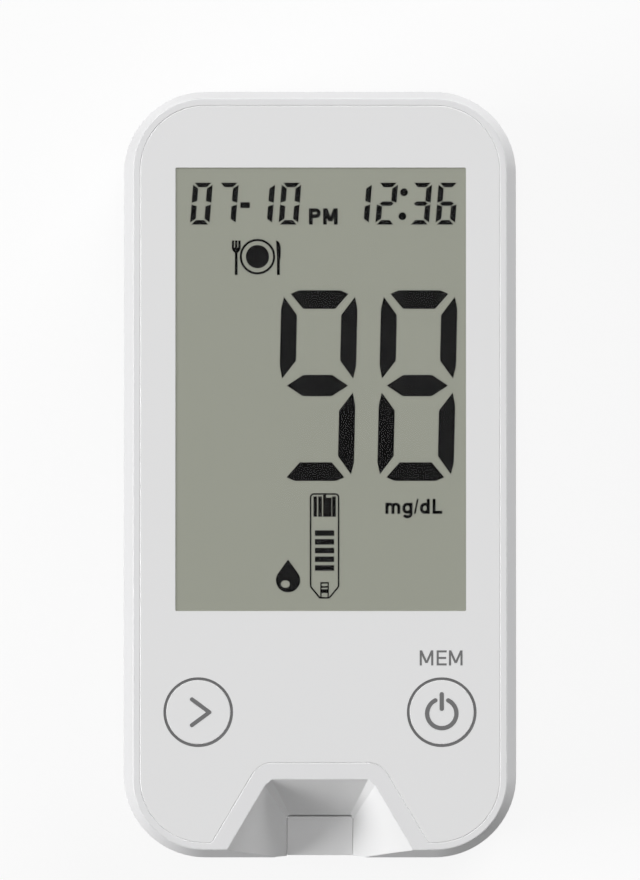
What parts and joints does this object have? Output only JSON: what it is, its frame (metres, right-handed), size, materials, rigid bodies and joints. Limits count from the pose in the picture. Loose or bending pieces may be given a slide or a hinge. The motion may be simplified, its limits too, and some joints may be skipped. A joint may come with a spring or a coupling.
{
  "type": "blood glucose meter",
  "caption": "Flat palm-sized blood glucose meter with a large display window, round keys under it, a funnel-shaped strip port in the lower end and a hinged battery door in the back.",
  "frame": {"origin": "centre of the case's outline, on the flat back face that the meter lies on", "axes": "+X across the meter to the right of someone who reads the display, +Y from the strip port to the top end, +Z from the back out through the face"},
  "size_m": [0.0462, 0.09, 0.018],
  "materials": {
    "case_plastic": "fine satin moulding",
    "face_plastic": "smooth satin with printed rings",
    "key_plastic": "smooth satin",
    "guide_plastic": "satin grey",
    "lens_acrylic": "clear, polished",
    "display_glass": "clear, polished",
    "display_film": "grey-green reflective display",
    "frame_plastic": "white moulding",
    "grey_rubber": "matt silicone rubber",
    "circuit_board": "green solder mask",
    "chip_epoxy": "black moulded epoxy",
    "connector_plastic": "black moulding",
    "gold_plating": "gold-plated spring strip",
    "nickel": "nickel-plated steel",
    "steel": "zinc-plated steel"
  },
  "bodies": {
    "case": {"front_cover": "case_plastic", "rear_cover": "case_plastic", "faceplate": "face_plastic", "display_lens": "lens_acrylic", "front_polariser": "display_film", "rear_polariser": "display_film", "lcd_front_glass": "display_glass", "lcd_rear_glass": "display_glass", "lcd_frame": "frame_plastic", "zebra_strip": "grey_rubber", "left_dome": "grey_rubber", "right_dome": "grey_rubber", "main_board": "circuit_board", "controller_chip": "chip_epoxy", "memory_chip": "chip_epoxy", "measuring_chip": "chip_epoxy", "buzzer": "chip_epoxy", "clock_crystal": "steel", "strip_connector": "connector_plastic", "strip_contact_1": "gold_plating", "strip_contact_2": "gold_plating", "strip_contact_3": "gold_plating", "strip_contact_4": "gold_plating", "strip_contact_5": "gold_plating", "strip_guide": "guide_plastic", "coin_cell_1": "nickel", "coin_cell_2": "nickel", "positive_contact_1": "nickel", "positive_contact_2": "nickel", "negative_contact_1": "nickel", "negative_contact_2": "nickel", "case_screw_1": "steel", "case_screw_2": "steel", "case_screw_3": "steel", "case_screw_4": "steel"},
    "left_button": {"left_button": "key_plastic"},
    "right_button": {"right_button": "key_plastic"},
    "battery_door": {"battery_door": "case_plastic"}
  },
  "joints": [
    {"name": "left_button_press", "type": "slide", "parent": "case", "child": "left_button", "axis": [0, 0, -1], "range_m": [0, 0.0004], "stiffness_N_per_m": 2000, "deforming": ["left_dome"]},
    {"name": "right_button_press", "type": "slide", "parent": "case", "child": "right_button", "axis": [0, 0, -1], "range_m": [0, 0.0004], "stiffness_N_per_m": 2000, "deforming": ["right_dome"]},
    {"name": "battery_door_hinge", "type": "hinge", "parent": "case", "child": "battery_door", "pos_m": [0, -0.0106, 0], "axis": [-1, 0, 0], "range_deg": [0, 70]}
  ]
}
